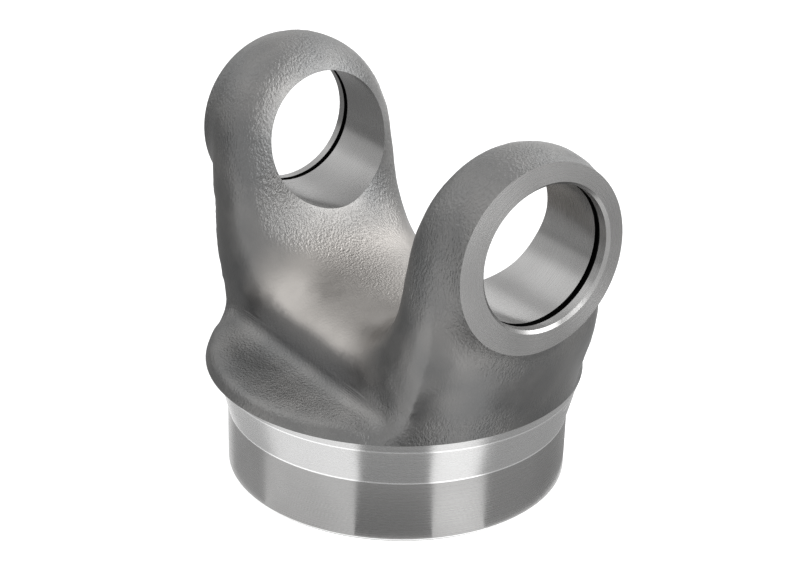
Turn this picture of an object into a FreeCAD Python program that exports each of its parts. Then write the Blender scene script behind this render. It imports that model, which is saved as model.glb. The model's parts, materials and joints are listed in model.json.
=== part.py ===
import FreeCAD, Part

import math
import os
import re

import Sketcher
from FreeCAD import Vector

# Weld yoke for a drive shaft: one steel forging, turned on the hub and bored through both ears.
# X runs along the cross bore, Z runs up the shaft axis, the origin is the hub's bottom centre.
# Every length is in millimetres and every angle in degrees.

NODE = "forged_yoke"

SIZES = (
    # Hub, turned about the shaft axis
    ("pilot_radius", 42.35, "outer radius that the tube slides over"),
    ("pilot_height", 16.0, "length of the pilot"),
    ("pilot_chamfer", 0.8, "chamfer at the pilot's bottom edge"),
    ("bevel_top_radius", 44.7, "radius where the weld bevel meets the rim band"),
    ("bevel_height", 9.4, "height of the weld bevel above the pilot"),
    ("rim_radius", 45.8, "radius of the turned rim at its top edge"),
    ("rim_height", 3.2, "height of the rim band above the bevel"),
    # Recess under the hub
    ("recess_radius", 33.0, "radius of the recess at the bottom face"),
    ("recess_depth", 24.0, "depth of the recess"),
    ("recess_draft", 7.0, "draft of the recess wall"),
    ("recess_bevel", 5.0, "bevel between the recess wall and its roof"),
    # Forging
    ("forging_shift", 1.3, "how far the forging lies off the turned axis, towards -Y"),
    ("foot_radius", 44.9, "forged radius where the outside starts to flare"),
    ("foot_drop", 5.0, "how far below the rim's top the flare starts"),
    ("ledge_rise", 3.8, "height of the ledge between the ears above the rim"),
    ("crease_fillet", 3.4, "fillet where the ears stand on the ledge"),
    # Ears
    ("bore_height", 74.5, "height of the cross bore above the base"),
    ("ear_radius", 24.2, "round top of each ear, about the bore"),
    ("ear_draft", 2.4, "draft of the ears' sides"),
    ("belly_radius", 54.4, "radius of the ears' outside at its widest"),
    ("belly_drop", 22.0, "how far below the bore the outside is widest"),
    ("belly_round", 40.0, "round of the ears' outside at its widest"),
    ("ear_top_radius", 53.2, "radius of the ears' outside above the ears"),
    ("ear_gap", 64.6, "distance between the inner faces at the bore"),
    ("ear_lean", 11.8, "lean of the inner faces"),
    ("outer_edge_fillet", 3.2, "round on the ears' and the ledge's outer edges"),
    ("inner_edge_fillet", 9.0, "round on the ears' inner edges and the throat"),
    # Throat between the ears
    ("throat_axis_height", 11.0, "height of the axis that the crowned throat turns about"),
    ("throat_radius", 38.0, "radius of the crowned floor"),
    ("throat_corner", 20.0, "radius of the corners between the floor and the ears"),
    ("throat_clearance", 1.5, "how far above the ledge the throat's cut stops"),
    # Boss and bearing bore
    ("boss_radius", 22.2, "forged boss at the ring face"),
    ("boss_draft", 12.0, "draft of the boss"),
    ("boss_sink", 4.7, "how deep the boss's foot lies inside the ears' outside"),
    ("face_distance", 110.0, "distance over the two ring faces"),
    ("face_stock", 1.5, "forged stock that facing takes off the boss"),
    ("bore_radius", 16.8, "radius of the bearing bore"),
    ("bore_chamfer", 0.7, "chamfer at the outer mouth of the bore"),
    ("groove_land", 2.9, "distance from the ring face to the snap ring groove"),
    ("groove_width", 1.7, "width of the snap ring groove"),
    ("groove_depth", 0.9, "depth of the snap ring groove"),
    ("cut_margin", 8.0, "how far the cutting profiles run past the forging"),
)

# Worked out in the sheet from the sizes above
DERIVED = (
    ("pilot_foot_radius", "pilot_radius - pilot_chamfer", "radius of the pilot's bottom edge"),
    ("bevel_top", "pilot_height + bevel_height", "height of the bevel's top edge"),
    ("rim_top", "bevel_top + rim_height", "height of the rim's top edge"),
    ("ledge_height", "rim_top + ledge_rise", "height of the ledge"),
    ("foot_height", "rim_top - foot_drop", "height where the outside starts to flare"),
    ("ear_top", "bore_height + ear_radius", "height of the ears"),
    ("past_top", "ear_top + cut_margin", "height of the blank above the ears"),
    ("belly_height", "bore_height - belly_drop", "height where the ears' outside is widest"),
    ("flare_rise", "belly_height - foot_height", "height that the flare climbs"),
    ("flare_lean", "atan((belly_radius - foot_radius) / flare_rise)", "lean of the flare below the belly"),
    ("upper_rise", "past_top - belly_height", "height of the outside above the belly"),
    ("upper_lean", "atan((ear_top_radius - belly_radius) / upper_rise)", "lean of the outside above it"),
    ("belly_tangent", "belly_round * tan((flare_lean - upper_lean) / 2)", "corner to the round's end"),
    ("belly_low_across", "belly_radius - belly_tangent * sin(flare_lean)", "round's lower end, outwards"),
    ("belly_low_up", "belly_height - belly_tangent * cos(flare_lean)", "round's lower end, upwards"),
    ("belly_high_across", "belly_radius + belly_tangent * sin(upper_lean)", "round's upper end, outwards"),
    ("belly_high_up", "belly_height + belly_tangent * cos(upper_lean)", "round's upper end, upwards"),
    ("belly_across", "belly_low_across - belly_round * cos(flare_lean)", "round's centre, outwards"),
    ("belly_up", "belly_low_up + belly_round * sin(flare_lean)", "round's centre, upwards"),
    ("ring_face", "face_distance / 2", "distance of a ring face from the shaft axis"),
    ("side_across", "ear_radius * cos(ear_draft)", "half width where a side meets the round top"),
    ("side_up", "bore_height + ear_radius * sin(ear_draft)", "height where a side meets the round top"),
    ("crease_up", "ledge_height + crease_fillet", "height of the crease's centre"),
    (
        "crease_across",
        "(ear_radius + crease_fillet + (bore_height - crease_up) * sin(ear_draft)) / cos(ear_draft)",
        "crease's centre from the middle",
    ),
    ("side_foot_across", "crease_across - crease_fillet * cos(ear_draft)", "half width at the crease"),
    ("side_foot_up", "crease_up - crease_fillet * sin(ear_draft)", "height where a side meets the crease"),
    ("bore_reach", "bore_height - throat_axis_height", "bore above the throat's axis"),
    ("throat_top", "bore_reach + ear_radius + cut_margin", "top of the throat's cut above its axis"),
    ("throat_top_half", "ear_gap / 2 + tan(ear_lean) * (throat_top - bore_reach)", "half width of its top"),
    ("corner_up", "throat_radius + throat_corner", "corner's centre above the throat's axis"),
    (
        "corner_across",
        "ear_gap / 2 + tan(ear_lean) * (corner_up - bore_reach) - throat_corner / cos(ear_lean)",
        "corner's centre from the middle",
    ),
    ("leg_across", "corner_across + throat_corner * cos(ear_lean)", "half gap at the corner's upper end"),
    ("leg_up", "corner_up - throat_corner * sin(ear_lean)", "height where an inner face meets the corner"),
    (
        "throat_sweep",
        "2 * acos((ledge_height + throat_clearance - throat_axis_height) / throat_radius)",
        "angle that the throat's cut turns through",
    ),
    ("boss_tip", "ring_face + face_stock", "end of the boss before it is faced"),
    ("boss_root", "ear_top_radius - boss_sink", "foot of the boss inside the ear"),
    ("boss_tip_radius", "boss_radius - face_stock * tan(boss_draft)", "radius of the unfaced boss"),
    ("boss_root_radius", "boss_radius + (ring_face - boss_root) * tan(boss_draft)", "radius at its foot"),
    ("chamfer_radius", "bore_radius + bore_chamfer", "radius of the bore's mouth"),
    ("chamfer_foot", "ring_face - bore_chamfer", "inner end of the chamfer from the shaft axis"),
    ("groove_radius", "bore_radius + groove_depth", "radius of the snap ring groove"),
    ("groove_outer", "ring_face - groove_land", "groove's outer wall from the shaft axis"),
    ("groove_inner", "groove_outer - groove_width", "groove's inner wall from the shaft axis"),
    ("past_face", "boss_tip + cut_margin", "reach of a cut beyond the boss"),
    ("past_ear", "ear_radius + cut_margin", "reach of a cut beyond an ear"),
    ("past_belly", "belly_radius + cut_margin", "reach of a cut beyond the forging"),
    ("past_blank", "past_top + cut_margin", "height of a cut above the blank"),
    ("recess_mouth", "recess_radius + cut_margin * tan(recess_draft)", "radius of its cut below the hub"),
    ("recess_wall", "recess_depth - recess_bevel", "height of the recess wall"),
    ("recess_top", "recess_radius - recess_wall * tan(recess_draft)", "radius at the wall's top"),
    ("recess_roof", "recess_top - recess_bevel", "radius of the recess at its roof"),
)

doc = FreeCAD.newDocument("ForgedYoke")
sheet = doc.addObject("Spreadsheet::Sheet", "Sizes")
ROWS = [(alias, str(value), meaning) for alias, value, meaning in SIZES]
ROWS += [(alias, "=" + formula, meaning) for alias, formula, meaning in DERIVED]
for row, (alias, content, meaning) in enumerate(ROWS, start=1):
    sheet.set("A%d" % row, alias.replace("_", " "))
    sheet.set("B%d" % row, content)
    sheet.set("C%d" % row, meaning)
    sheet.setAlias("B%d" % row, alias)
doc.recompute()

body = doc.addObject("PartDesign::Body", NODE)
body.Label = NODE
PLANES = {item.Role: item for item in body.Origin.OriginFeatures}
POINT = {"start": 1, "end": 2}
LEFT, RIGHT = "left", "right"
ORIGIN, X_AXIS, Y_AXIS = (-1, 1), -1, -2
FULL_TURN, HALF_TURN = 360.0, 180.0
TOLERANCE = 1e-3
ALIAS = re.compile(r"\b(" + "|".join(alias for alias, _, _ in ROWS) + r")\b")


def linked(expression):
    """Expression on plain aliases, with each alias pointed at the sheet."""
    return ALIAS.sub(r"Sizes.\1", expression)


def value_of(term):
    """Value of an alias, of an alias with a minus sign, or of zero."""
    if term == "0":
        return 0.0
    sign = -1.0 if term.startswith("-") else 1.0
    return sign * float(getattr(sheet, term.lstrip("-")))


class Profile:
    """Closed outline in a sketch, with each corner, arc and dimension bound to the sheet."""

    def __init__(self, name, plane, **offset):
        self.sketch = body.newObject("Sketcher::SketchObject", name)
        self.sketch.AttachmentSupport = [(PLANES[plane], "")]
        self.sketch.MapMode = "FlatFace"
        for component, expression in offset.items():
            self.sketch.setExpression("AttachmentOffset.Base." + component, linked(expression))
        doc.recompute()
        self.count = 0

    def drive(self, kind, references, term):
        """Add a dimension that follows the size of an alias."""
        size = term.lstrip("-")
        index = self.sketch.addConstraint(Sketcher.Constraint(kind, *references, value_of(size)))
        self.count += 1
        name = "size%d" % self.count
        self.sketch.renameConstraint(index, name)
        self.sketch.setExpression("Constraints." + name, linked(size))

    def place(self, curve, end, across, up):
        """Hold one end of a curve at a place given by two terms."""
        for kind, axis, term in (("DistanceX", Y_AXIS, across), ("DistanceY", X_AXIS, up)):
            if term == "0":
                self.sketch.addConstraint(Sketcher.Constraint("PointOnObject", curve, end, axis))
            elif term.startswith("-"):
                self.drive(kind, (curve, end, *ORIGIN), term)
            else:
                self.drive(kind, (*ORIGIN, curve, end), term)

    def line(self, start, end):
        """Add a line between two points given as numbers."""
        return self.sketch.addGeometry(Part.LineSegment(Vector(*start, 0), Vector(*end, 0)), False)

    def arc(self, centre, radius, start, end):
        """Add an arc, counter-clockwise between two points given as numbers."""
        circle = Part.Circle(Vector(*centre, 0), Vector(0, 0, 1), radius)
        angles = [math.atan2(point[1] - centre[1], point[0] - centre[0]) for point in (start, end)]
        if angles[1] < angles[0]:
            angles[1] += 2 * math.pi
        return self.sketch.addGeometry(Part.ArcOfCircle(circle, *angles), False)

    def outline(self, *sides):
        """Draw the closed outline.

        Each side is a tuple of two terms for the place where it starts. An arc adds its turn, LEFT
        or RIGHT, and three terms for its centre and radius.
        """
        points = [(value_of(side[0]), value_of(side[1])) for side in sides]
        curves = []
        for side, start, end in zip(sides, points, points[1:] + points[:1]):
            if len(side) == 2:
                curves.append((self.line(start, end), "start", "end"))
                continue
            centre = (value_of(side[3]), value_of(side[4]))
            if side[2] == LEFT:
                curves.append((self.arc(centre, value_of(side[5]), start, end), "start", "end"))
            else:
                curves.append((self.arc(centre, value_of(side[5]), end, start), "end", "start"))
        for (curve, _, last), (following, first, _) in zip(curves, curves[1:] + curves[:1]):
            joined = (curve, POINT[last], following, POINT[first])
            self.sketch.addConstraint(Sketcher.Constraint("Coincident", *joined))
        for (curve, first, _), side in zip(curves, sides):
            self.place(curve, POINT[first], side[0], side[1])
            if len(side) > 2:
                self.drive("Radius", (curve,), side[5])


def turn(kind, name, profile, axis, angle=FULL_TURN):
    """Revolution or groove of a profile about an axis of its own sketch."""
    feature = body.newObject("PartDesign::" + kind, name)
    feature.Profile = profile.sketch
    feature.ReferenceAxis = (profile.sketch, [axis])
    feature.Angle = angle
    feature.Refine = False
    profile.sketch.Visibility = False
    doc.recompute()
    return feature


def mirror_across(name, feature=None):
    """Mirror a feature, or the whole body so far, to the other side of the YZ plane."""
    mirrored = body.newObject("PartDesign::Mirrored", name)
    if feature:
        mirrored.Originals = [feature]
    else:
        mirrored.TransformMode = "Whole shape"
    mirrored.MirrorPlane = (PLANES["YZ_Plane"], [""])
    mirrored.Refine = False
    body.Tip = mirrored
    doc.recompute()


def runs_along(direction, axis):
    """Whether a direction lies along an axis, either way round."""
    return abs(abs(direction.dot(axis)) - 1) < TOLERANCE


def kind_of(face):
    """Family that a face belongs to, told from its surface."""
    surface = face.Surface
    along_x, along_z = Vector(1, 0, 0), Vector(0, 0, 1)
    if surface.TypeId == "Part::GeomPlane":
        if runs_along(surface.Axis, along_z):
            return "ledge" if abs(surface.Position.z - value_of("ledge_height")) < TOLERANCE else "flat"
        return "flat" if runs_along(surface.Axis, along_x) else "side"
    if not hasattr(surface, "Axis"):
        return "blend"
    if runs_along(surface.Axis, along_z):
        return "envelope"
    if not runs_along(surface.Axis, along_x):
        return "blend"
    if surface.TypeId == "Part::GeomCylinder":
        for height in ("bore_height", "crease_up"):
            if abs(surface.Center.z - value_of(height)) < TOLERANCE:
                return "side"
    return "throat"


def edges_between(first, second):
    """Names of the body's edges that lie between two families of faces."""
    shape = body.Tip.Shape
    names = []
    for number, edge in enumerate(shape.Edges, start=1):
        kinds = sorted(kind_of(face) for face in shape.ancestorsOfType(edge, Part.Face))
        if kinds == sorted((first, second)):
            names.append("Edge%d" % number)
    return names


def round_edges(name, radius, names):
    """Fillet the named edges of the body, with a radius from the sheet."""
    base = body.Tip
    fillet = body.newObject("PartDesign::Fillet", name)
    fillet.Base = (base, names)
    fillet.Refine = False
    fillet.setExpression("Radius", linked(radius))
    doc.recompute()


def forged_blank():
    """Turned envelope of the forging, hub below and the ears' outside above, as two mirrored halves."""
    section = Profile("ForgingSection", "YZ_Plane", x="-1 * forging_shift")
    section.outline(
        ("0", "0"),
        ("foot_radius", "0"),
        ("foot_radius", "foot_height"),
        ("belly_low_across", "belly_low_up", LEFT, "belly_across", "belly_up", "belly_round"),
        ("belly_high_across", "belly_high_up"),
        ("ear_top_radius", "past_top"),
        ("0", "past_top"),
    )
    turn("Revolution", "ForgingHalf", section, "V_Axis", HALF_TURN)
    mirror_across("Forging")


def ear_sides():
    """Trim the envelope to two round-topped ears above a flat ledge."""
    outline = Profile("EarOutline", "YZ_Plane", x="-1 * forging_shift")
    outline.outline(
        ("-past_belly", "ledge_height"),
        ("-crease_across", "ledge_height", LEFT, "-crease_across", "crease_up", "crease_fillet"),
        ("-side_foot_across", "side_foot_up"),
        ("-side_across", "side_up", RIGHT, "0", "bore_height", "ear_radius"),
        ("side_across", "side_up"),
        ("side_foot_across", "side_foot_up", LEFT, "crease_across", "crease_up", "crease_fillet"),
        ("crease_across", "ledge_height"),
        ("past_belly", "ledge_height"),
        ("past_belly", "past_blank"),
        ("-past_belly", "past_blank"),
    )
    pocket = body.newObject("PartDesign::Pocket", "EarSides")
    pocket.Profile = outline.sketch
    pocket.Type = "ThroughAll"
    pocket.Midplane = True
    pocket.Refine = False
    outline.sketch.Visibility = False
    doc.recompute()


def throat():
    """Crowned throat between the ears, turned about an axis that lies along the cross bore."""
    section = Profile("ThroatSection", "XZ_Plane", y="throat_axis_height", z="forging_shift")
    section.outline(
        ("-corner_across", "throat_radius"),
        ("corner_across", "throat_radius", LEFT, "corner_across", "corner_up", "throat_corner"),
        ("leg_across", "leg_up"),
        ("throat_top_half", "throat_top"),
        ("-throat_top_half", "throat_top"),
        ("-leg_across", "leg_up", LEFT, "-corner_across", "corner_up", "throat_corner"),
    )
    groove = turn("Groove", "Throat", section, "H_Axis", HALF_TURN)
    groove.Midplane = True
    groove.setExpression("Angle", linked("throat_sweep"))
    doc.recompute()


def bosses():
    """Drafted boss round each bore, before it is faced."""
    section = Profile("BossSection", "XZ_Plane", y="bore_height", z="forging_shift")
    section.outline(
        ("boss_root", "0"),
        ("boss_tip", "0"),
        ("boss_tip", "boss_tip_radius"),
        ("boss_root", "boss_root_radius"),
    )
    mirror_across("Bosses", turn("Revolution", "Boss", section, "H_Axis"))


def faced_rings():
    """Face both bosses square to the bore."""
    section = Profile("FacingSection", "XZ_Plane", y="bore_height")
    section.outline(
        ("ring_face", "0"),
        ("past_face", "0"),
        ("past_face", "past_ear"),
        ("ring_face", "past_ear"),
    )
    mirror_across("Facings", turn("Groove", "Facing", section, "H_Axis"))


def bearing_bores():
    """Bore both ears in line, with a chamfered mouth and a snap ring groove in each."""
    section = Profile("BoreSection", "XZ_Plane", y="bore_height")
    section.outline(
        ("0", "0"),
        ("past_face", "0"),
        ("past_face", "chamfer_radius"),
        ("ring_face", "chamfer_radius"),
        ("chamfer_foot", "bore_radius"),
        ("groove_outer", "bore_radius"),
        ("groove_outer", "groove_radius"),
        ("groove_inner", "groove_radius"),
        ("groove_inner", "bore_radius"),
        ("0", "bore_radius"),
    )
    mirror_across("Bores", turn("Groove", "Bore", section, "H_Axis"))


def turned_hub():
    """Turn the pilot, the weld bevel and the rim band from the forging."""
    section = Profile("HubSection", "XZ_Plane")
    section.outline(
        ("pilot_foot_radius", "0"),
        ("pilot_radius", "pilot_chamfer"),
        ("pilot_radius", "pilot_height"),
        ("bevel_top_radius", "bevel_top"),
        ("rim_radius", "rim_top"),
        ("past_belly", "rim_top"),
        ("past_belly", "-cut_margin"),
        ("pilot_foot_radius", "-cut_margin"),
    )
    turn("Groove", "TurnedHub", section, "V_Axis")


def hub_recess():
    """Drafted recess under the hub, closed by the floor of the throat."""
    section = Profile("RecessSection", "XZ_Plane")
    section.outline(
        ("0", "-cut_margin"),
        ("recess_mouth", "-cut_margin"),
        ("recess_top", "recess_wall"),
        ("recess_roof", "recess_depth"),
        ("0", "recess_depth"),
    )
    turn("Groove", "Recess", section, "V_Axis")


def check_document():
    """Stop when an object of the document has failed or the body is not one sound solid."""
    for item in doc.Objects:
        if {"Invalid", "Error"} & set(item.State):
            raise RuntimeError(item.Name + " is not valid")
    if body.Shape.isNull() or not body.Shape.isValid() or len(body.Shape.Solids) != 1:
        raise RuntimeError("the body is not one sound solid")


forged_blank()
ear_sides()
throat()
outer_edges = edges_between("side", "envelope") + edges_between("ledge", "envelope")
round_edges("OuterEdges", "outer_edge_fillet", outer_edges)
round_edges("InnerEdges", "inner_edge_fillet", edges_between("side", "throat"))
bosses()
faced_rings()
bearing_bores()
turned_hub()
hub_recess()
check_document()
os.makedirs("parts", exist_ok=True)
body.Shape.exportStep("parts/" + NODE + ".step")
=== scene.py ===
"""Dresses the forged weld yoke: forged skin, turned and faced steel, studio and camera.

Lengths are in metres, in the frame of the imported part: X along the cross bore, Z up the shaft
axis, the origin at the middle of the hub's bottom face.
"""

import json
import logging
import math
from dataclasses import dataclass, field
from enum import Enum
from typing import Any

import bmesh
import bpy
from mathutils import Matrix, Vector
from mathutils.kdtree import KDTree

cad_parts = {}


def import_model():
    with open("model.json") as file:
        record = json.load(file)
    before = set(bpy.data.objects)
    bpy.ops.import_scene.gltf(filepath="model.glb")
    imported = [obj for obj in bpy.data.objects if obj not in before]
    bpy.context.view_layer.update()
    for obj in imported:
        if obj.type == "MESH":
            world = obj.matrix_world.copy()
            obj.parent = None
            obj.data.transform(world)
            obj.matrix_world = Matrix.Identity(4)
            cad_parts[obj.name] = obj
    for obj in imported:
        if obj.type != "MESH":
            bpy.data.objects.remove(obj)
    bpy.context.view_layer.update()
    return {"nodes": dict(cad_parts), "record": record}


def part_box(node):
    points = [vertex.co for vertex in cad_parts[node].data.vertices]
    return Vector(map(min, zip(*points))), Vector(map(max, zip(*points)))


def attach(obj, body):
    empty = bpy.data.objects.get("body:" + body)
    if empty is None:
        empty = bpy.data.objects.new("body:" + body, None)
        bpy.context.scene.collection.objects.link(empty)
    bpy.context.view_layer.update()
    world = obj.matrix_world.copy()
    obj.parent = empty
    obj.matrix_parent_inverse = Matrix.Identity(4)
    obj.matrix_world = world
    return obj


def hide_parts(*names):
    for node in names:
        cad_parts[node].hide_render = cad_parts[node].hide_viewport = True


LOG = logging.getLogger("forged_yoke")
MM = 0.001
NODE = "forged_yoke"
IMAGE_WIDTH = 800
IMAGE_HEIGHT = 579
SENSOR_WIDTH = 36.0
WHITE = (1.0, 1.0, 1.0, 1.0)
BLACK = (0.0, 0.0, 0.0, 1.0)
NOISE_MIDDLE = 0.5
NOISE_RANGE = (0.3, 0.7)
DIAGONAL = math.sqrt(2)

Colour = tuple[float, float, float]


class Region(Enum):
    """What was done to a face of the yoke after it was forged."""

    FORGED = 0
    MACHINED = 1


def smooth_step(value: float, low: float, high: float) -> float:
    """Ramp with soft ends.

    Args:
        value: What is placed on the ramp.
        low: Value where the ramp starts at 0.
        high: Value where the ramp ends at 1.

    Returns:
        A number from 0 to 1.
    """
    share = min(1.0, max(0.0, (value - low) / (high - low)))
    return share * share * (3 - 2 * share)


def tilt(normal: Vector) -> float:
    """Angle of a normal above the level, in radians."""
    return math.asin(max(-1.0, min(1.0, normal.z)))


@dataclass(frozen=True)
class MachinedSizes:
    """Where the lathe and the boring bar have cut the forging."""

    bore_centre: Vector
    bore_radius: float
    ring_face: float
    pilot_top: float = 15.3 * MM
    rim_top: float = 28.6 * MM
    recess_radius: float = 33.0 * MM
    collar_margin: float = 1.0 * MM
    groove_depth: float = 0.9 * MM
    mouth_depth: float = 8.0 * MM
    chamfer: float = 0.7 * MM
    tolerance: float = 0.06 * MM

    @classmethod
    def from_record(cls, record: dict[str, Any]) -> "MachinedSizes":
        """Read the bore from the part's own mount.

        Args:
            record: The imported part's record.

        Returns:
            The sizes, in metres.
        """
        bore = next(mount for mount in record["mounts"] if mount["name"] == "cross_bore")
        _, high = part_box(NODE)
        return cls(
            bore_centre=Vector(bore["pos_m"]),
            bore_radius=bore["dims"]["r_mm"] * MM,
            ring_face=high.x,
        )

    def from_bore(self, point: Vector) -> float:
        """Distance of a point from the axis of the cross bore."""
        return math.hypot(point.y - self.bore_centre.y, point.z - self.bore_centre.z)

    def on_hub(self, point: Vector) -> bool:
        """Tell whether a point is no higher than the turned rim."""
        return point.z < self.rim_top + self.tolerance

    def region(self, point: Vector) -> Region:
        """Tell whether a face was machined, from its middle.

        Args:
            point: Middle of the face.

        Returns:
            The face's region.
        """
        across = math.hypot(point.x, point.y)
        if abs(point.x) > self.ring_face - self.tolerance:
            return Region.MACHINED
        mouth = abs(point.x) > self.ring_face - self.mouth_depth
        wall = self.bore_radius + (self.groove_depth if mouth else 0.0) + self.tolerance
        if self.from_bore(point) < wall:
            return Region.MACHINED
        if self.on_hub(point) and across > self.recess_radius - self.tolerance:
            return Region.MACHINED
        return Region.FORGED

    def on_collar(self, point: Vector) -> bool:
        """Tell whether a machined face belongs to the bevel or the rim above the pilot."""
        outside = math.hypot(point.x, point.y) > self.recess_radius + self.collar_margin
        return outside and point.z > self.pilot_top and self.on_hub(point)

    def in_groove(self, point: Vector) -> bool:
        """Tell whether a face lies in one of the snap ring grooves.

        Args:
            point: Middle of the face.

        Returns:
            True for the bottom and sides of these grooves.
        """
        inside = abs(point.x) < self.ring_face - self.chamfer - 2 * self.tolerance
        wall = self.bore_radius + self.tolerance
        return inside and wall < self.from_bore(point) < wall + self.groove_depth

    def slope(self, face: bpy.types.MeshPolygon) -> float:
        """Angle of a machined face to the axis that it was turned about.

        Args:
            face: Face of the hub, a bore or a ring face.

        Returns:
            The angle, below 0 where a face of the hub looks down.
        """
        if self.on_hub(face.center):
            return tilt(face.normal)
        return math.asin(min(1.0, abs(face.normal.x)))

    def turned_normal(self, place: Vector, face: bpy.types.MeshPolygon, slope: float) -> Vector:
        """Exact normal of a turned surface at a point.

        Args:
            place: Point of the surface.
            face: Face that the point is on.
            slope: The face's angle to the axis that it was turned about.

        Returns:
            The normal.
        """
        if self.on_hub(face.center):
            outwards = Vector((place.x, place.y, 0.0)).normalized()
            along = Vector((0.0, 0.0, 1.0))
        else:
            across, up = place.y - self.bore_centre.y, place.z - self.bore_centre.z
            outwards = Vector((0.0, across, up)).normalized()
            along = Vector((math.copysign(1.0, face.normal.x), 0.0, 0.0))
        if outwards.dot(face.normal) < 0:
            outwards.negate()
        return outwards * math.cos(slope) + along * math.sin(slope)


def add_node(tree: bpy.types.NodeTree, kind: str, **settings: Any) -> bpy.types.Node:
    """Add a node to a tree.

    Args:
        tree: Tree that gets the node.
        kind: Blender's name for the type of node.
        settings: Attributes of the node and their values.

    Returns:
        The new node.
    """
    node = tree.nodes.new(kind)
    for name, value in settings.items():
        setattr(node, name, value)
    return node


def put(tree: bpy.types.NodeTree, value: Any, target: bpy.types.NodeSocket) -> None:
    """Give a node's input its value.

    Args:
        tree: Tree that the node is in.
        value: Socket that is linked to the input, or a number that it is set to.
        target: The input.
    """
    if isinstance(value, bpy.types.NodeSocket):
        tree.links.new(value, target)
    else:
        target.default_value = value


def math_node(tree: bpy.types.NodeTree, operation: str, first: Any, second: Any) -> Any:
    """Add a sum on two values, each a number or a socket.

    Args:
        tree: Tree that gets the node.
        operation: Blender's name for the sum.
        first: First value.
        second: Second value.

    Returns:
        The socket that holds the result.
    """
    node = add_node(tree, "ShaderNodeMath", operation=operation)
    put(tree, first, node.inputs[0])
    put(tree, second, node.inputs[1])
    return node.outputs[0]


class ShaderTree:
    """A new node material with the few nodes that every finish of the yoke uses."""

    def __init__(self, name: str) -> None:
        """Make the material, with an empty principled surface.

        Args:
            name: Name of the material.
        """
        self.material = bpy.data.materials.new(name)
        self.material.use_nodes = True
        self.tree = self.material.node_tree
        self.shader = self.tree.nodes["Principled BSDF"]
        self.place = add_node(self.tree, "ShaderNodeTexCoord").outputs["Object"]

    def noise(self, size: float, detail: float, stretch: Vector | None = None) -> Any:
        """Add noise on the object's own place.

        Args:
            size: Length of the noise's largest waves.
            detail: Number of finer waves on it.
            stretch: Factors on the three axes, where the noise is drawn out.

        Returns:
            The socket with the noise, near 0.5 in the middle.
        """
        source = self.place
        if stretch is not None:
            mapping = add_node(self.tree, "ShaderNodeMapping")
            mapping.inputs["Scale"].default_value = stretch
            self.tree.links.new(source, mapping.inputs["Vector"])
            source = mapping.outputs[0]
        node = add_node(self.tree, "ShaderNodeTexNoise")
        node.inputs["Scale"].default_value = 1 / size
        node.inputs["Detail"].default_value = detail
        self.tree.links.new(source, node.inputs["Vector"])
        return node.outputs[0]

    def attribute(self, name: str, output: str = "Fac") -> Any:
        """Read an attribute of the mesh, as a number or as a vector."""
        return add_node(self.tree, "ShaderNodeAttribute", attribute_name=name).outputs[output]

    def ramp(self, value: Any, band: tuple[float, float], dark: Colour, light: Colour) -> Any:
        """Turn noise into a colour between two others.

        Args:
            value: Socket with the noise.
            band: Noise where the colour leaves the dark one, and where it reaches the light one.
            dark: Colour below the band, linear.
            light: Colour above it, linear.

        Returns:
            The socket with the colour.
        """
        node = add_node(self.tree, "ShaderNodeValToRGB")
        for element, position, colour in zip(node.color_ramp.elements, band, (dark, light)):
            element.position = position
            element.color = (*colour, 1.0)
        self.tree.links.new(value, node.inputs[0])
        return node.outputs[0]

    def blend(self, first: Any, second: Colour, share: Any) -> Any:
        """Blend a colour towards a second one.

        Args:
            first: Socket with the first colour.
            second: The second colour, linear.
            share: Socket with the share of the second colour, from 0 to 1.

        Returns:
            The socket with the colour.
        """
        node = add_node(self.tree, "ShaderNodeMixRGB")
        self.tree.links.new(share, node.inputs[0])
        self.tree.links.new(first, node.inputs[1])
        node.inputs[2].default_value = (*second, 1.0)
        return node.outputs[0]

    def spread(self, value: Any, low: float, high: float) -> Any:
        """Turn noise into a number that lies between two others.

        Args:
            value: Socket with the noise.
            low: Number at the noise's low end.
            high: Number at its high end.

        Returns:
            The socket with the number.
        """
        node = add_node(self.tree, "ShaderNodeMapRange")
        self.tree.links.new(value, node.inputs["Value"])
        limits = (*NOISE_RANGE, low, high)
        for name, number in zip(("From Min", "From Max", "To Min", "To Max"), limits):
            node.inputs[name].default_value = number
        return node.outputs[0]

    def bump(self, height: Any, distance: float, strength: Any = 1.0, under: Any = None) -> Any:
        """Add relief to the surface's normal.

        Args:
            height: Socket with the height, from 0 to 1.
            distance: Height of the relief at 1.
            strength: Share of the relief that shows, a number or a socket.
            under: Normal of a coarser relief, where there is one.

        Returns:
            The socket with the normal.
        """
        node = add_node(self.tree, "ShaderNodeBump")
        node.inputs["Distance"].default_value = distance
        put(self.tree, strength, node.inputs["Strength"])
        self.tree.links.new(height, node.inputs["Height"])
        if under is not None:
            self.tree.links.new(under, node.inputs["Normal"])
        return node.outputs[0]

    def feed(self, **sockets: Any) -> None:
        """Link sockets, or set numbers, on the surface.

        Args:
            sockets: Names of the surface's inputs, with underscores for spaces, and their values.
        """
        for name, value in sockets.items():
            put(self.tree, value, self.shader.inputs[name.replace("_", " ")])


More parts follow.
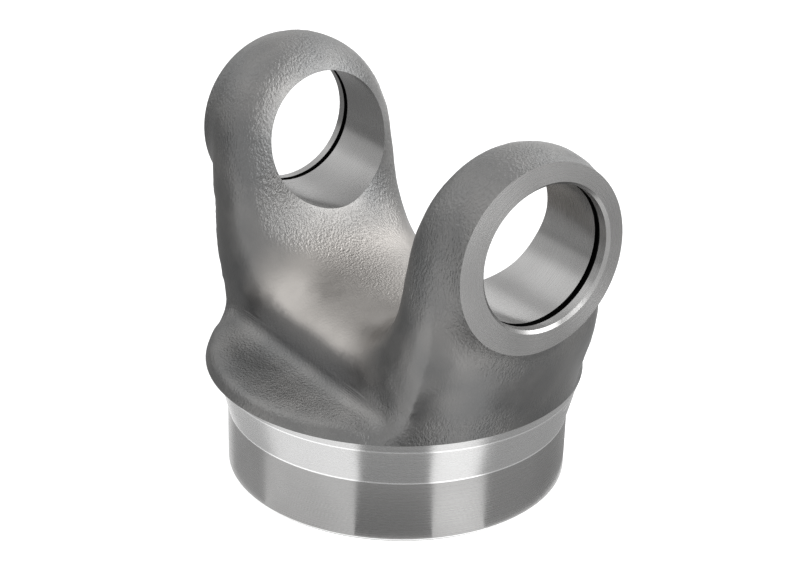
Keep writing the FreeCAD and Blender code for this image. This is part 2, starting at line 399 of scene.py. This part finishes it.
@dataclass(frozen=True)
class ForgedSkin:
    """Grey skin of a steel forging: satin on the broad faces, wrinkled round the rims, with painted
    light between the ears and painted shade above the crease.
    """

    dark: Colour = (0.146, 0.147, 0.147)
    light: Colour = (0.202, 0.199, 0.195)
    # Dark colour of the painted shade on the wall just above the crease.
    painted_crease_shade: Colour = (0.045, 0.045, 0.046)
    # Lighter colour of the painted light on the floor between the ears.
    throat: Colour = (0.350, 0.333, 0.316)
    metallic: float = 0.95
    tone_size: float = 16 * MM
    tone_detail: float = 5.0
    tone_band: tuple[float, float] = (0.36, 0.64)
    roughness: tuple[float, float] = (0.31, 0.40)
    gloss_size: float = 4 * MM
    gloss_detail: float = 4.0
    wrinkle_size: float = 0.55 * MM
    wrinkle_detail: float = 3.0
    wrinkle_height: float = 0.31 * MM
    wrinkle_stretch: Vector = Vector((1.0, 1.0, 0.55))
    grain_size: float = 0.28 * MM
    grain_detail: float = 2.0
    grain_height: float = 0.010 * MM

    def build(self) -> bpy.types.Material:
        """Make the material.

        Returns:
            The finish of every face that no tool has cut.
        """
        shader = ShaderTree("forged_skin")
        tone = shader.noise(self.tone_size, self.tone_detail)
        wrinkle = shader.noise(self.wrinkle_size, self.wrinkle_detail, self.wrinkle_stretch)
        grain = shader.noise(self.grain_size, self.grain_detail)
        relief = shader.bump(wrinkle, self.wrinkle_height, shader.attribute("wrinkle"))
        gloss = shader.noise(self.gloss_size, self.gloss_detail)
        skin = shader.ramp(tone, self.tone_band, self.dark, self.light)
        # Painted light: the floor between the ears is blended towards a lighter colour.
        skin = shader.blend(skin, self.throat, shader.attribute("throat"))
        shader.feed(
            # Painted shade: the wall just above the crease is blended towards a dark colour.
            Base_Color=shader.blend(skin, self.painted_crease_shade, shader.attribute("painted_crease_shade")),
            Metallic=self.metallic,
            Roughness=shader.spread(gloss, *self.roughness),
            Normal=shader.bump(grain, self.grain_height, under=relief),
        )
        return shader.material


@dataclass(frozen=True)
class MachinedSteel:
    """Bright steel straight from the tool, with fine lines that follow the cut, painted highlights on
    the collar and its broken edges and painted shade in the snap ring grooves.
    """

    dark: Colour = (0.300, 0.297, 0.294)
    light: Colour = (0.355, 0.352, 0.349)
    # Colour of the painted highlights on the bevel, the rim and their broken edges.
    painted_highlight: Colour = (0.90, 0.90, 0.90)
    # Near-black colour of the painted shade in the snap ring grooves.
    groove: Colour = (0.015, 0.015, 0.015)
    metallic: float = 1.0
    roughness: tuple[float, float] = (0.25, 0.30)
    anisotropy: float = 0.85
    across_cut: float = 0.25
    tone_size: float = 25 * MM
    tone_detail: float = 3.0
    tone_band: tuple[float, float] = (0.35, 0.65)
    line_pitch: float = 0.30 * MM
    line_detail: float = 2.0
    line_height: float = 0.0016 * MM

    def build(self) -> bpy.types.Material:
        """Make the material.

        Returns:
            The finish of every face that was turned, faced or bored.
        """
        shader = ShaderTree("machined_steel")
        lines = add_node(shader.tree, "ShaderNodeTexNoise", noise_dimensions="1D")
        lines.inputs["Scale"].default_value = 1 / self.line_pitch
        lines.inputs["Detail"].default_value = self.line_detail
        shader.tree.links.new(shader.attribute("feed"), lines.inputs["W"])
        tone = shader.noise(self.tone_size, self.tone_detail)
        steel = shader.ramp(tone, self.tone_band, self.dark, self.light)
        # Painted highlight: the bevel, the rim and their broken edges are blended towards near-white.
        steel = shader.blend(steel, self.painted_highlight, shader.attribute("painted_highlight"))
        shader.feed(
            # Painted shade: the faces of the snap ring grooves are blended towards near-black.
            Base_Color=shader.blend(steel, self.groove, shader.attribute("groove")),
            Metallic=self.metallic,
            Roughness=shader.spread(lines.outputs[0], *self.roughness),
            Anisotropic=self.anisotropy,
            Anisotropic_Rotation=self.across_cut,
            Tangent=shader.attribute("lay", "Vector"),
            Normal=shader.bump(lines.outputs[0], self.line_height),
        )
        return shader.material


@dataclass(frozen=True)
class CreaseBlend:
    """Soft valley where the ears and the wall between them stand on the ledge; painted shade above it.
    """

    middle: float = -1.3 * MM
    wall: float = 24.2 * MM
    wall_draft: float = math.radians(2.4)
    wall_top: float = 74.5 * MM
    ledge: float = 32.4 * MM
    lip_radius: float = 45.8 * MM
    radius: float = 9.5 * MM
    least: float = 1.0 * MM
    corner_fade: float = 3.0 * MM
    side_fade: tuple[float, float] = (22.0 * MM, 35.0 * MM)
    # Reach, strength and limits of the painted shade on the wall above the valley.
    shade_reach: tuple[float, float] = (6.0 * MM, 12.0 * MM)
    shade_share: float = 0.75
    shade_rise: tuple[float, float] = (-1.5 * MM, 2.5 * MM)
    shade_front: tuple[float, float] = (-4.0 * MM, -1.0 * MM)

    @property
    def foot(self) -> float:
        """Distance of the drafted wall from the forging's middle, at the ledge."""
        return self.wall + (self.wall_top - self.ledge) * math.tan(self.wall_draft)

    def from_valley(self, place: Vector) -> tuple[float, float, float]:
        """Where a point lies from the valley on its side of the yoke.

        Args:
            place: Point of the forged skin.

        Returns:
            The side, 1 or -1, the distance out from the wall and the height above the ledge.
        """
        side = 1.0 if place.y > self.middle else -1.0
        return side, side * (place.y - self.middle) - self.foot, place.z - self.ledge

    def along(self, place: Vector) -> float:
        """Share of the valley at a point, which fades out towards the ears' corners."""
        return 1 - smooth_step(abs(place.x), *self.side_fade)

    def painted_crease_shade(self, place: Vector) -> float:
        """How much painted shade darkens the wall just above the valley.

        Args:
            place: Point of the forged skin, after the move.

        Returns:
            A share from 0 to 1.
        """
        _, out, up = self.from_valley(place)
        away = math.hypot(max(0.0, out), up)
        near = 1 - smooth_step(away, *self.shade_reach)
        wall = smooth_step(up - out, *self.shade_rise) * smooth_step(out, *self.shade_front)
        return self.shade_share * near * wall * self.along(place)

    def moved(self, place: Vector) -> Vector:
        """Move a point of the skin out of the sharp valley, on to a wide round.

        Args:
            place: Point of the forged skin.

        Returns:
            The point's new place, or its old one outside the valley.
        """
        side, out, up = self.from_valley(place)
        room = math.sqrt(max(0.0, self.lip_radius**2 - place.x**2)) - self.foot
        radius = min(self.radius, room)
        if radius < self.least or up < -self.least:
            return place
        share = smooth_step(out, -self.corner_fade, 0.0) * self.along(place)
        out = max(0.0, out)
        across, high = (out - up) / DIAGONAL, (out + up) / DIAGONAL
        if abs(across) >= radius / DIAGONAL:
            return place
        rise = radius * DIAGONAL - math.sqrt(radius**2 - across**2) - high
        if rise <= 0.0:
            return place
        step = share * rise / DIAGONAL
        return place + Vector((0.0, side * step, step))


@dataclass
class SkinRelief:
    """Geometry nodes that round the forged faces off and give them their slight waves."""

    swell_size: float = 13 * MM
    swell_height: float = 0.30 * MM
    dent_size: float = 4.0 * MM
    dent_height: float = 0.05 * MM
    wave_detail: float = 1.0
    blur_steps: int = 30
    seed: float = 4.0

    def build(self) -> bpy.types.NodeTree:
        """Make the node tree.

        Returns:
            The tree, with its sizes and its two materials as named inputs.
        """
        tree = bpy.data.node_groups.new("forged_relief", "GeometryNodeTree")
        socket = tree.interface.new_socket
        socket("Geometry", in_out="INPUT", socket_type="NodeSocketGeometry")
        for name in ("Swell Size", "Swell Height", "Dent Size", "Dent Height", "Seed"):
            socket(name, in_out="INPUT", socket_type="NodeSocketFloat")
        socket("Blur Steps", in_out="INPUT", socket_type="NodeSocketInt")
        for name in ("Forged", "Machined"):
            socket(name, in_out="INPUT", socket_type="NodeSocketMaterial")
        socket("Geometry", in_out="OUTPUT", socket_type="NodeSocketGeometry")
        given = add_node(tree, "NodeGroupInput")
        skin = self.named(tree, "skin", "FLOAT")
        push = self.named(tree, "push", "FLOAT_VECTOR")
        place = add_node(tree, "GeometryNodeInputPosition").outputs[0]
        blur = add_node(tree, "GeometryNodeBlurAttribute", data_type="FLOAT_VECTOR")
        tree.links.new(given.outputs["Blur Steps"], blur.inputs["Iterations"])
        tree.links.new(skin, blur.inputs["Weight"])
        self.link_value(tree, place, blur)
        rounded = add_node(tree, "GeometryNodeSetPosition")
        tree.links.new(given.outputs["Geometry"], rounded.inputs["Geometry"])
        tree.links.new(self.enabled_output(blur), rounded.inputs["Position"])
        swell = self.waves(tree, place, given, "Swell")
        dent = self.waves(tree, place, given, "Dent")
        height = math_node(tree, "ADD", swell, dent)
        offset = add_node(tree, "ShaderNodeVectorMath", operation="SCALE")
        tree.links.new(push, offset.inputs[0])
        tree.links.new(height, offset.inputs["Scale"])
        waved = add_node(tree, "GeometryNodeSetPosition")
        tree.links.new(rounded.outputs[0], waved.inputs["Geometry"])
        tree.links.new(offset.outputs[0], waved.inputs["Offset"])
        realized = add_node(tree, "GeometryNodeRealizeInstances")
        tree.links.new(waved.outputs[0], realized.inputs[0])
        last = realized.outputs[0]
        machined = self.named(tree, "machined", "BOOLEAN")
        for name, selection in (("Forged", None), ("Machined", machined)):
            paint = add_node(tree, "GeometryNodeSetMaterial")
            tree.links.new(last, paint.inputs["Geometry"])
            tree.links.new(given.outputs[name], paint.inputs["Material"])
            if selection is not None:
                tree.links.new(selection, paint.inputs["Selection"])
            last = paint.outputs[0]
        result = add_node(tree, "NodeGroupOutput")
        tree.links.new(last, result.inputs[0])
        return tree

    def named(self, tree: bpy.types.NodeTree, name: str, kind: str) -> Any:
        """Read a named attribute of the mesh in a geometry node tree.

        Args:
            tree: Tree that gets the node.
            name: Name of the attribute.
            kind: Blender's name for its type of data.

        Returns:
            The socket with the attribute.
        """
        node = add_node(tree, "GeometryNodeInputNamedAttribute", data_type=kind)
        node.inputs["Name"].default_value = name
        return self.enabled_output(node)

    @staticmethod
    def enabled_output(node: bpy.types.Node) -> Any:
        """First output of a node that is in use for its type of data."""
        return next(socket for socket in node.outputs if socket.enabled)

    @staticmethod
    def link_value(tree: bpy.types.NodeTree, source: Any, node: bpy.types.Node) -> None:
        """Link a socket to the value input of a node that is in use for its type of data."""
        target = next(item for item in node.inputs if item.enabled and item.name == "Value")
        tree.links.new(source, target)

    def waves(self, tree: bpy.types.NodeTree, place: Any, given: bpy.types.Node, name: str) -> Any:
        """Add noise whose height and size are inputs of the tree.

        Args:
            tree: Tree that gets the nodes.
            place: Socket with the place on the surface.
            given: The tree's group input node.
            name: First word of the inputs' names.

        Returns:
            The socket with the height, half of it below 0.
        """
        noise = add_node(tree, "ShaderNodeTexNoise", noise_dimensions="4D")
        tree.links.new(place, noise.inputs["Vector"])
        tree.links.new(given.outputs["Seed"], noise.inputs["W"])
        scale = math_node(tree, "DIVIDE", 1.0, given.outputs[name + " Size"])
        tree.links.new(scale, noise.inputs["Scale"])
        noise.inputs["Detail"].default_value = self.wave_detail
        centred = math_node(tree, "SUBTRACT", noise.outputs[0], NOISE_MIDDLE)
        return math_node(tree, "MULTIPLY", centred, given.outputs[name + " Height"])

    def apply(
        self,
        piece: bpy.types.Object,
        forged: bpy.types.Material,
        machined: bpy.types.Material,
    ) -> None:
        """Run the tree on a piece and keep the result as its plain mesh.

        Args:
            piece: Object whose mesh has the attributes that the tree reads.
            forged: Material of the forged faces.
            machined: Material of the machined faces.
        """
        tree = self.build()
        modifier = piece.modifiers.new("relief", "NODES")
        modifier.node_group = tree
        values = {
            "Swell Size": self.swell_size,
            "Swell Height": self.swell_height,
            "Dent Size": self.dent_size,
            "Dent Height": self.dent_height,
            "Seed": self.seed,
            "Blur Steps": self.blur_steps,
            "Forged": forged,
            "Machined": machined,
        }
        for item in tree.interface.items_tree:
            if item.in_out == "INPUT" and item.name in values:
                modifier[item.identifier] = values[item.name]
        graph = bpy.context.evaluated_depsgraph_get()
        made = bpy.data.meshes.new_from_object(piece.evaluated_get(graph))
        piece.modifiers.remove(modifier)
        piece.data = made


@dataclass
class YokeForging:
    """The yoke itself: one forging with its machined faces."""

    sizes: MachinedSizes
    longest_edge: float = 1.9 * MM
    split_rounds: int = 6
    edge_break: float = 0.25 * MM
    break_angle: float = math.radians(4.4)
    level_tolerance: float = 0.03 * MM
    # Share of painted highlight on the bevel and the rim above the pilot.
    collar_highlight_share: float = 0.45
    merge_distance: float = 0.002 * MM
    crease_angle: float = math.radians(50)
    tool_angle: float = math.radians(5)
    fade: float = 2.5 * MM
    boss_share: float = 1.35
    boss_reach: tuple[float, float] = (2 * MM, 9 * MM)
    shoulder_rise: float = 2 * MM
    shoulder_reach: tuple[float, float] = (2 * MM, 8 * MM)
    shoulder_wrinkles: float = 0.70
    least_wrinkles: float = 0.15
    # Where the painted light on the floor between the ears reaches: across, under and over.
    throat_across: tuple[float, float] = (18 * MM, 32 * MM)
    throat_under: tuple[float, float] = (47 * MM, 64 * MM)
    throat_over: tuple[float, float] = (36 * MM, 42 * MM)
    skin: ForgedSkin = field(default_factory=ForgedSkin)
    steel: MachinedSteel = field(default_factory=MachinedSteel)
    crease: CreaseBlend = field(default_factory=CreaseBlend)
    relief: SkinRelief = field(default_factory=SkinRelief)

    def build(self, source: bpy.types.Object) -> bpy.types.Object:
        """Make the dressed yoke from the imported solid.

        Args:
            source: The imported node, which stays as it is.

        Returns:
            The piece that stands for the node.
        """
        mesh = self.refined(source.data)
        piece = bpy.data.objects.new("yoke_forging", mesh)
        bpy.context.scene.collection.objects.link(piece)
        self.mark(mesh)
        self.relief.apply(piece, self.skin.build(), self.steel.build())
        self.shade(piece.data)
        LOG.info("%s: %d faces", piece.name, len(piece.data.polygons))
        return piece

    def refined(self, packed: bpy.types.Mesh) -> bpy.types.Mesh:
        """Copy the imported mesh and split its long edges, so that the skin can take relief.

        Args:
            packed: Loose triangles of the node.

        Returns:
            A closed mesh of small triangles.
        """
        work = bmesh.new()
        work.from_mesh(packed)
        bmesh.ops.remove_doubles(work, verts=work.verts, dist=self.merge_distance)
        self.break_edges(work)
        for _ in range(self.split_rounds):
            long_edges = [edge for edge in work.edges if edge.calc_length() > self.longest_edge]
            bmesh.ops.subdivide_edges(work, edges=long_edges, cuts=1)
            bmesh.ops.triangulate(work, faces=work.faces[:])
        for vertex in work.verts:
            if not any(self.is_cut(face.calc_center_median()) for face in vertex.link_faces):
                vertex.co = self.crease.moved(vertex.co)
        mesh = bpy.data.meshes.new("yoke_forging")
        work.to_mesh(mesh)
        work.free()
        return mesh

    def is_cut(self, middle: Vector) -> bool:
        """Tell whether the face with this middle was machined."""
        return self.sizes.region(middle) is Region.MACHINED

    def turned_edges(self, work: bmesh.types.BMesh) -> list[bmesh.types.BMEdge]:
        """Find the level edges between two turned faces of the hub.

        Args:
            work: Merged mesh of the node.

        Returns:
            The edges, in the mesh's own order.
        """
        turned = []
        for edge in work.edges:
            low, high = sorted(vertex.co.z for vertex in edge.verts)
            faces = edge.link_faces
            if len(faces) != 2 or high > self.sizes.rim_top - self.sizes.tolerance:
                continue
            if high - low > self.level_tolerance:
                continue
            if not all(self.is_cut(face.calc_center_median()) for face in faces):
                continue
            slopes = [tilt(face.normal) for face in faces]
            if abs(slopes[0] - slopes[1]) > self.break_angle:
                turned.append(edge)
        return turned

    def break_edges(self, work: bmesh.types.BMesh) -> None:
        """Break the hub's turned edges with a fine bevel, and note the faces with painted highlights
        and the faces of the snap ring grooves with painted shade.

        Args:
            work: Merged mesh of the node.
        """
        turned = self.turned_edges(work)
        painted_highlight = work.faces.layers.float.new("painted_highlight")
        groove = work.faces.layers.float.new("groove")
        # The bevel and the rim get part of the painted highlight; the snap ring grooves' faces get
        # painted shade.
        for face in work.faces:
            middle = face.calc_center_median()
            face[painted_highlight] = self.collar_highlight_share if self.sizes.on_collar(middle) else 0.0
            face[groove] = 1.0 if self.sizes.in_groove(middle) else 0.0
        broken = bmesh.ops.bevel(
            work,
            geom=turned,
            offset=self.edge_break,
            offset_type="OFFSET",
            segments=1,
            affect="EDGES",
            clamp_overlap=True,
        )
        # The new bevel faces of the broken edges get the full painted highlight.
        for face in broken["faces"]:
            face[painted_highlight] = 1.0
        bmesh.ops.triangulate(work, faces=work.faces[:])

    def mark(self, mesh: bpy.types.Mesh) -> None:
        """Write the attributes that the relief and the finishes read.

        Args:
            mesh: Mesh that gets them.
        """
        machined = [self.is_cut(face.center) for face in mesh.polygons]
        cut = {vertex for face, hit in zip(mesh.polygons, machined) if hit for vertex in face.vertices}
        tree = KDTree(len(cut))
        for index in cut:
            tree.insert(mesh.vertices[index].co, index)
        tree.balance()
        skin, push, wrinkle, throat, painted_crease_shade, lay, feed = [], [], [], [], [], [], []
        for vertex in mesh.vertices:
            place = vertex.co
            away = tree.find(place)[2]
            share = smooth_step(away, 0.0, self.fade)
            skin.append(share)
            push.extend(vertex.normal * share)
            wrinkle.append(self.wrinkling(place))
            # Share of painted light on the floor between the ears.
            throat.append(self.throat_share(place))
            # Share of painted shade on the wall just above the crease.
            painted_crease_shade.append(self.crease.painted_crease_shade(place))
            direction, along = self.cut_lay(place)
            lay.extend(direction)
            feed.append(along)
        self.store(mesh, "machined", "BOOLEAN", "FACE", machined)
        self.store(mesh, "skin", "FLOAT", "POINT", skin)
        self.store(mesh, "push", "FLOAT_VECTOR", "POINT", push)
        self.store(mesh, "wrinkle", "FLOAT", "POINT", wrinkle)
        self.store(mesh, "throat", "FLOAT", "POINT", throat)
        self.store(mesh, "painted_crease_shade", "FLOAT", "POINT", painted_crease_shade)
        self.store(mesh, "lay", "FLOAT_VECTOR", "POINT", lay)
        self.store(mesh, "feed", "FLOAT", "POINT", feed)

    @staticmethod
    def store(mesh: bpy.types.Mesh, name: str, kind: str, domain: str, values: list[Any]) -> None:
        """Write one attribute.

        Args:
            mesh: Mesh that gets it.
            name: Name of the attribute.
            kind: Blender's name for its type of data.
            domain: What it is on, POINT or FACE.
            values: Its values in one flat list.
        """
        attribute = mesh.attributes.new(name, kind, domain)
        attribute.data.foreach_set("vector" if kind == "FLOAT_VECTOR" else "value", values)

    def wrinkling(self, place: Vector) -> float:
        """How wrinkled the skin is: most round the bosses and on the ledge's shoulder.

        Args:
            place: Point of the surface.

        Returns:
            A share from 0 to 1.
        """
        sizes = self.sizes
        from_boss = abs(sizes.from_bore(place) - self.boss_share * sizes.bore_radius)
        boss = 1 - smooth_step(from_boss, *self.boss_reach)
        from_shoulder = abs(place.z - sizes.rim_top - self.shoulder_rise)
        shoulder = 1 - smooth_step(from_shoulder, *self.shoulder_reach)
        most = max(boss, self.shoulder_wrinkles * shoulder)
        return self.least_wrinkles + (1 - self.least_wrinkles) * most

    def throat_share(self, place: Vector) -> float:
        """How much painted light a point of the floor between the ears gets.

        Args:
            place: Point of the surface.

        Returns:
            A share from 0 to 1.
        """
        across = 1 - smooth_step(abs(place.x), *self.throat_across)
        under = 1 - smooth_step(place.z, *self.throat_under)
        return across * under * smooth_step(place.z, *self.throat_over)

    def cut_lay(self, place: Vector) -> tuple[Vector, float]:
        """Direction of the tool marks, and how far the tool has fed.

        Args:
            place: Point of the surface.

        Returns:
            The direction of the cut and the length along the feed.
        """
        sizes = self.sizes
        if sizes.on_hub(place):
            direction = Vector((-place.y, place.x, 0.0))
            return direction.normalized(), place.z + math.hypot(place.x, place.y)
        across, up = place.y - sizes.bore_centre.y, place.z - sizes.bore_centre.z
        return Vector((0.0, -up, across)).normalized(), abs(place.x) + math.hypot(across, up)

    def shade(self, mesh: bpy.types.Mesh) -> None:
        """Smooth the faces, apart from the edges that the tool left crisp.

        Args:
            mesh: Finished mesh of the piece.
        """
        mesh.polygons.foreach_set("use_smooth", [True] * len(mesh.polygons))
        work = bmesh.new()
        work.from_mesh(mesh)
        machined = work.faces.layers.bool["machined"]
        slopes = {}
        for face in work.faces:
            if face[machined]:
                slopes[face.index] = self.sizes.slope(mesh.polygons[face.index])
        for edge in work.edges:
            sides = [slopes.get(face.index) for face in edge.link_faces]
            if None not in sides:
                edge.smooth = max(sides) - min(sides) < self.tool_angle
            elif any(side is not None for side in sides):
                edge.smooth = False
            else:
                edge.smooth = edge.calc_face_angle(0.0) < self.crease_angle
        work.to_mesh(mesh)
        work.free()
        self.true_normals(mesh)

    def true_normals(self, mesh: bpy.types.Mesh) -> None:
        """Give the machined faces the exact normals of their turned surfaces.

        Args:
            mesh: Mesh with its sharp edges marked.
        """
        flat = [0.0] * (3 * len(mesh.loops))
        mesh.corner_normals.foreach_get("vector", flat)
        normals = [Vector(flat[index : index + 3]) for index in range(0, len(flat), 3)]
        machined = mesh.attributes["machined"].data
        for face in mesh.polygons:
            if not machined[face.index].value:
                continue
            slope = self.sizes.slope(face)
            for loop in face.loop_indices:
                place = mesh.vertices[mesh.loops[loop].vertex_index].co
                normals[loop] = self.sizes.turned_normal(place, face, slope)
        mesh.normals_split_custom_set(normals)


@dataclass(frozen=True)
class Softbox:
    """One soft lamp of the studio."""

    name: str
    place: tuple[float, float, float]
    size: tuple[float, float]
    power: float

    def build(self, aim: Vector) -> None:
        """Hang the lamp and turn it to the yoke.

        Args:
            aim: Point that the lamp looks at.
        """
        data = bpy.data.lights.new(self.name, "AREA")
        data.shape = "RECTANGLE"
        data.size, data.size_y = self.size
        data.energy = self.power
        lamp = bpy.data.objects.new(self.name, data)
        lamp.location = self.place
        lamp.rotation_mode = "QUATERNION"
        lamp.rotation_quaternion = (aim - Vector(self.place)).to_track_quat("-Z", "Y")
        bpy.context.scene.collection.objects.link(lamp)


@dataclass(frozen=True)
class Flag:
    """Grey card on the floor that only reflections see, with sides along what the hub reflects.

    It starts and ends at two places of the hub, in degrees round the shaft's axis, and reaches
    from near to far, measured out from the hub.
    """

    name: str
    start: float
    end: float
    near: float
    far: float
    glow: float
    top: float = 0.0
    hub_radius: float = 43.5 * MM
    lift: float = 0.5 * MM
    steps: int = 12

    def build(self, camera_azimuth: float) -> None:
        """Lay the card from the hub outwards and let its far edge rise.

        Args:
            camera_azimuth: Where the camera stands, as an angle about the shaft's axis.
        """
        points, faces = [], []
        for index in range(self.steps + 1):
            azimuth = math.radians(self.start + (self.end - self.start) * index / self.steps)
            sight = 2 * azimuth - camera_azimuth
            rim = Vector((math.cos(azimuth), math.sin(azimuth), 0.0)) * self.hub_radius
            ahead = Vector((math.cos(sight), math.sin(sight), 0.0))
            foot, head = rim + ahead * self.near, rim + ahead * self.far
            for point, height in ((foot, 0.0), (head, 0.0), (head, self.top)):
                points.append((point.x, point.y, height + self.lift))
        for first in range(0, 3 * self.steps, 3):
            faces.append((first, first + 1, first + 4, first + 3))
            if self.top:
                faces.append((first + 1, first + 2, first + 5, first + 4))
        mesh = bpy.data.meshes.new(self.name)
        mesh.from_pydata(points, [], faces)
        finish = ShaderTree(self.name)
        finish.feed(Base_Color=BLACK, Roughness=1.0)
        finish.feed(Emission_Color=WHITE, Emission_Strength=self.glow)
        mesh.materials.append(finish.material)
        card = bpy.data.objects.new(self.name, mesh)
        card.visible_camera = False
        card.visible_diffuse = False
        card.visible_shadow = False
        bpy.context.scene.collection.objects.link(card)


@dataclass(frozen=True)
class Studio:
    """Pale floor, soft lamps aimed part of the way up to the bore, grey cards, white surround."""

    bore_centre: Vector
    camera_azimuth: float
    aim_share: float = 0.6
    floor_size: float = 6.0
    floor_colour: Colour = (0.45, 0.45, 0.45)
    floor_roughness: float = 0.9
    floor_glow: float = 0.85
    surround: float = 0.45
    lamps: tuple[Softbox, ...] = (
        Softbox("key_softbox", (-0.15, 0.55, 0.60), (0.80, 0.60), 2.2),
        Softbox("side_softbox", (0.75, 0.03, 0.28), (0.34, 0.6), 3.0),
        Softbox("saddle_softbox", (0.42, 0.46, 0.58), (0.50, 0.50), 3.1),
        Softbox("fill_softbox", (-0.35, -0.34, 0.62), (0.60, 0.60), 0.8),
    )
    cards: tuple[Flag, ...] = (
        Flag("front_near_card", -48, -22.5, 0.0, 0.036, 0.30),
        Flag("front_far_card", -48, -22.5, 0.036, 0.35, 1.00, 0.10),
        Flag("right_near_card", -4, 75, 0.0, 0.036, 0.38),
        Flag("right_far_card", -4, 75, 0.036, 0.35, 0.55),
        Flag("left_card", -110, -84, 0.0, 0.036, 0.60),
        Flag("back_left_card", -130, -82, 0.06, 0.31, 0.35, 0.09),
    )

    def build(self) -> None:
        """Make the floor, the lamps, the cards and the world."""
        self.floor()
        for lamp in self.lamps:
            lamp.build(self.bore_centre * self.aim_share)
        for card in self.cards:
            card.build(self.camera_azimuth)
        self.world()

    def floor(self) -> None:
        """Lay the floor that the yoke stands on."""
        half = self.floor_size / 2
        corners = [(-half, -half, 0), (half, -half, 0), (half, half, 0), (-half, half, 0)]
        mesh = bpy.data.meshes.new("studio_floor")
        mesh.from_pydata(corners, [], [(0, 1, 2, 3)])
        plane = bpy.data.objects.new("studio_floor", mesh)
        bpy.context.scene.collection.objects.link(plane)
        mesh.materials.append(self.floor_finish())

    def floor_finish(self) -> bpy.types.Material:
        """Pale matt floor that the camera and reflections see as white outside the shadow.

        Returns:
            The floor's material.
        """
        shader = ShaderTree("studio_paper")
        shader.feed(Base_Color=(*self.floor_colour, 1.0), Roughness=self.floor_roughness)
        glow = math_node(shader.tree, "MULTIPLY", self.seen(shader.tree), self.floor_glow)
        shader.feed(Emission_Color=WHITE, Emission_Strength=glow)
        return shader.material

    @staticmethod
    def seen(tree: bpy.types.NodeTree) -> Any:
        """Tell what the camera sees, straight or by a reflection, from what only gives light.

        Args:
            tree: Tree that gets the nodes.

        Returns:
            The socket that is 1 for what is seen and 0 for what isn't.
        """
        path = add_node(tree, "ShaderNodeLightPath").outputs
        seen = math_node(tree, "MAXIMUM", path["Is Camera Ray"], path["Is Glossy Ray"])
        return math_node(tree, "MAXIMUM", seen, path["Is Transmission Ray"])

    def world(self) -> None:
        """White surround for the camera, and a plain grey one for the light on the yoke."""
        world = bpy.data.worlds.new("studio_surround")
        world.use_nodes = True
        bpy.context.scene.world = world
        tree = world.node_tree
        ground = tree.nodes["Background"]
        ground.inputs["Color"].default_value = WHITE
        strength = add_node(tree, "ShaderNodeMapRange")
        strength.inputs["To Min"].default_value = self.surround
        strength.inputs["To Max"].default_value = 1.0
        tree.links.new(self.seen(tree), strength.inputs["Value"])
        tree.links.new(strength.outputs[0], ground.inputs["Strength"])


@dataclass(frozen=True)
class Viewpoint:
    """Camera that stands where the photograph was taken."""

    azimuth: float = math.radians(-35.045)
    elevation: float = math.radians(24.616)
    roll: float = math.radians(1.556)
    distance: float = 441.3 * MM
    target_height: float = 46.585 * MM
    focal_pixels: float = 1809.45
    centre_column: float = 400.5
    centre_row: float = 285.96
    clip_factor: float = 50.0

    def build(self) -> None:
        """Make the camera and set it as the scene's own."""
        back = Vector(
            (
                math.cos(self.azimuth) * math.cos(self.elevation),
                math.sin(self.azimuth) * math.cos(self.elevation),
                math.sin(self.elevation),
            )
        )
        level = Vector((-math.sin(self.azimuth), math.cos(self.azimuth), 0.0))
        upright = back.cross(level)
        right = level * math.cos(self.roll) + upright * math.sin(self.roll)
        up = back.cross(right)
        data = bpy.data.cameras.new("photo_camera")
        data.sensor_width = SENSOR_WIDTH
        data.lens = self.focal_pixels / IMAGE_WIDTH * SENSOR_WIDTH
        data.shift_x = (IMAGE_WIDTH / 2 - self.centre_column) / IMAGE_WIDTH
        data.shift_y = (self.centre_row - IMAGE_HEIGHT / 2) / IMAGE_WIDTH
        data.clip_start = self.distance / self.clip_factor
        data.clip_end = self.distance * self.clip_factor
        camera = bpy.data.objects.new("photo_camera", data)
        camera.rotation_mode = "QUATERNION"
        camera.rotation_quaternion = Matrix((right, up, back)).transposed().to_quaternion()
        camera.location = Vector((0.0, 0.0, self.target_height)) + back * self.distance
        bpy.context.scene.collection.objects.link(camera)
        bpy.context.scene.camera = camera


def main() -> None:
    """Build the dressed yoke, its studio and its camera."""
    logging.basicConfig(level=logging.INFO, format="%(message)s")
    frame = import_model()
    bpy.context.scene.view_settings.view_transform = "Standard"
    sizes = MachinedSizes.from_record(frame["record"])
    yoke = YokeForging(sizes).build(frame["nodes"][NODE])
    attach(yoke, "root")
    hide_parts(NODE)
    viewpoint = Viewpoint()
    Studio(sizes.bore_centre, viewpoint.azimuth).build()
    viewpoint.build()
    LOG.info("studio and camera stand")


if __name__ == "__main__":
    main()
